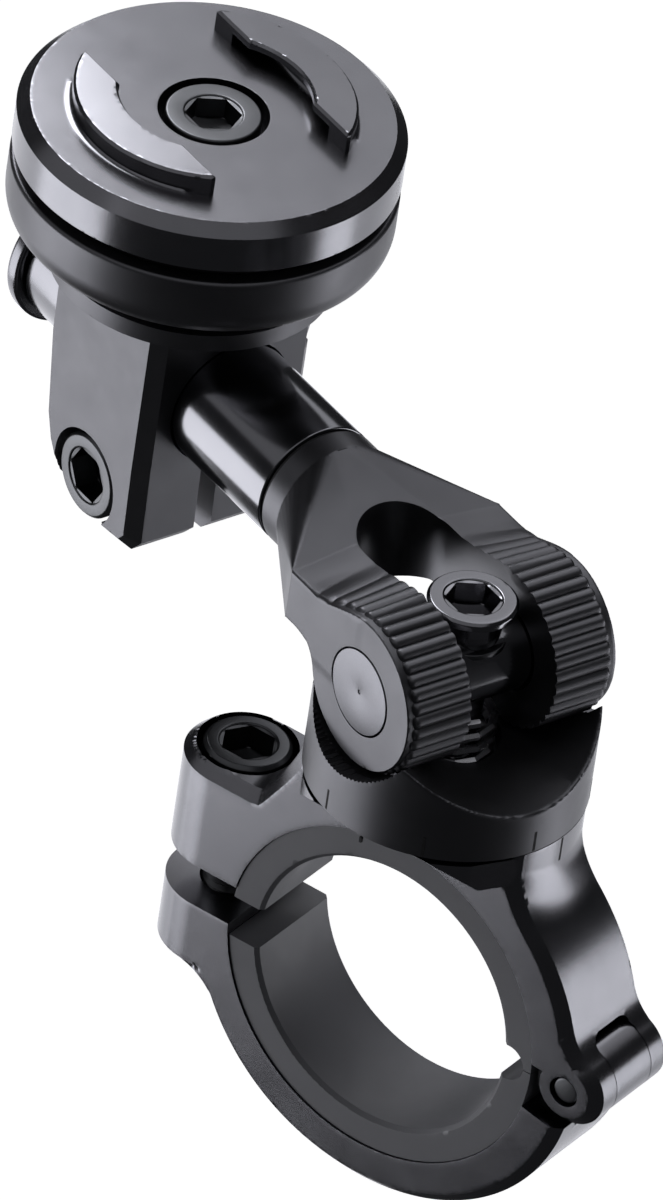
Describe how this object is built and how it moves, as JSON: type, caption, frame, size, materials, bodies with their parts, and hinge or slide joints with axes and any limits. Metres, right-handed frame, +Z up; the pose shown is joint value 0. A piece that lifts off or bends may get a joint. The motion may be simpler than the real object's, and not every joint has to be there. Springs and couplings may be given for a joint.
{
  "type": "phone mount",
  "caption": "Phone mount for a handlebar: hinged split clamp, toothed swivel and tilt joint, tube arm and a round bayonet head on a sliding block.",
  "frame": {"origin": "centre of the handlebar bore, midway between the clamp's two side faces", "axes": "+Y along the handlebar, +Z up from the bar to the swivel, +X towards the clamp hinge"},
  "size_m": [0.091, 0.0484, 0.0924],
  "materials": {
    "upper_clamp": "black anodised, satin",
    "liner_upper": "matte dark grey",
    "hinge_pin": "black oxide",
    "clamp_washer": "black oxide",
    "swivel_insert": "turned",
    "swivel_friction_ring": "matte dark grey",
    "lower_clamp": "black anodised, satin",
    "liner_lower": "matte dark grey",
    "clamp_insert": "turned",
    "clamp_bolt": "black oxide",
    "swivel_base": "black anodised, satin",
    "lift_spring": "bright spring steel",
    "tension_bolt": "black oxide",
    "cross_axle": "black anodised, satin",
    "tension_sleeve": "black oxide",
    "fork": "black anodised, satin",
    "axle_cap_left": "black anodised, turned face",
    "axle_cap_right": "black anodised, turned face",
    "arm_tube": "black anodised, semi-gloss",
    "collar_ring": "matte",
    "tube_end_cap": "black anodised, satin",
    "tube_sleeve": "matte dark grey",
    "head_block": "black anodised, satin",
    "pinch_washer": "black oxide",
    "pinch_insert": "turned",
    "pinch_bolt": "black oxide",
    "head_insert": "turned",
    "head_washer": "matte",
    "head_base": "black anodised, satin",
    "damper_ring": "matte",
    "head_plate": "black anodised, satin",
    "head_bolt": "black oxide"
  },
  "bodies": {
    "clamp": {"upper_clamp": "upper_clamp", "liner_upper": "liner_upper", "hinge_pin": "hinge_pin", "clamp_washer": "clamp_washer", "swivel_insert": "swivel_insert", "swivel_friction_ring": "swivel_friction_ring"},
    "lower_jaw": {"lower_clamp": "lower_clamp", "liner_lower": "liner_lower", "clamp_insert": "clamp_insert"},
    "clamp_screw": {"clamp_bolt": "clamp_bolt"},
    "turntable": {"swivel_base": "swivel_base", "lift_spring": "lift_spring"},
    "tension_screw": {"tension_bolt": "tension_bolt"},
    "carriage": {"cross_axle": "cross_axle", "tension_sleeve": "tension_sleeve"},
    "arm": {"fork": "fork", "axle_cap_left": "axle_cap_left", "axle_cap_right": "axle_cap_right", "arm_tube": "arm_tube", "collar_ring": "collar_ring", "tube_end_cap": "tube_end_cap"},
    "slider": {"tube_sleeve": "tube_sleeve"},
    "block": {"head_block": "head_block", "pinch_washer": "pinch_washer", "pinch_insert": "pinch_insert", "head_insert": "head_insert", "head_washer": "head_washer"},
    "pinch_screw": {"pinch_bolt": "pinch_bolt"},
    "head": {"head_base": "head_base", "damper_ring": "damper_ring", "head_plate": "head_plate"},
    "head_screw": {"head_bolt": "head_bolt"}
  },
  "joints": [
    {"name": "clamp_hinge", "type": "hinge", "parent": "clamp", "child": "lower_jaw", "pos_m": [0.02157, 0, 0.00046], "axis": [0, -1, 0], "range_deg": [0, 40]},
    {"name": "clamp_bolt_draw", "type": "slide", "parent": "clamp", "child": "clamp_screw", "axis": [0, 0, 1], "range_m": [0, 0.013]},
    {"name": "swivel_turn", "type": "hinge", "parent": "clamp", "child": "turntable", "pos_m": [0, 0, 0.02335], "axis": [0, 0, 1], "continuous": true},
    {"name": "tension_bolt_draw", "type": "slide", "parent": "turntable", "child": "tension_screw", "axis": [0, 0, 1], "range_m": [0, 0.0024]},
    {"name": "fork_lift", "type": "slide", "parent": "turntable", "child": "carriage", "axis": [0, 0, 1], "range_m": [0, 0.0012]},
    {"name": "arm_tilt", "type": "hinge", "parent": "carriage", "child": "arm", "pos_m": [0, 0, 0.03676], "axis": [0.328, 0.9447, 0], "range_deg": [-10, 120]},
    {"name": "head_slide", "type": "slide", "parent": "arm", "child": "slider", "axis": [-0.9447, 0.328, 0], "range_m": [-0.012, 0.006]},
    {"name": "head_roll", "type": "hinge", "parent": "slider", "child": "block", "pos_m": [-0.04563, 0.01584, 0.0397], "axis": [-0.9447, 0.328, 0], "range_deg": [-90, 90]},
    {"name": "pinch_bolt_draw", "type": "slide", "parent": "block", "child": "pinch_screw", "axis": [-0.328, -0.9447, 0], "range_m": [0, 0.003]},
    {"name": "head_turn", "type": "hinge", "parent": "block", "child": "head", "pos_m": [-0.04563, 0.01584, 0.0517], "axis": [0, 0, 1], "continuous": true},
    {"name": "head_bolt_draw", "type": "slide", "parent": "head", "child": "head_screw", "axis": [0, 0, 1], "range_m": [0, 0.002]}
  ],
  "couplings": [
    {"joint": "clamp_bolt_draw", "follows": "clamp_hinge", "m_per_rad": 0.018},
    {"joint": "fork_lift", "follows": "tension_bolt_draw", "ratio": 0.5}
  ]
}
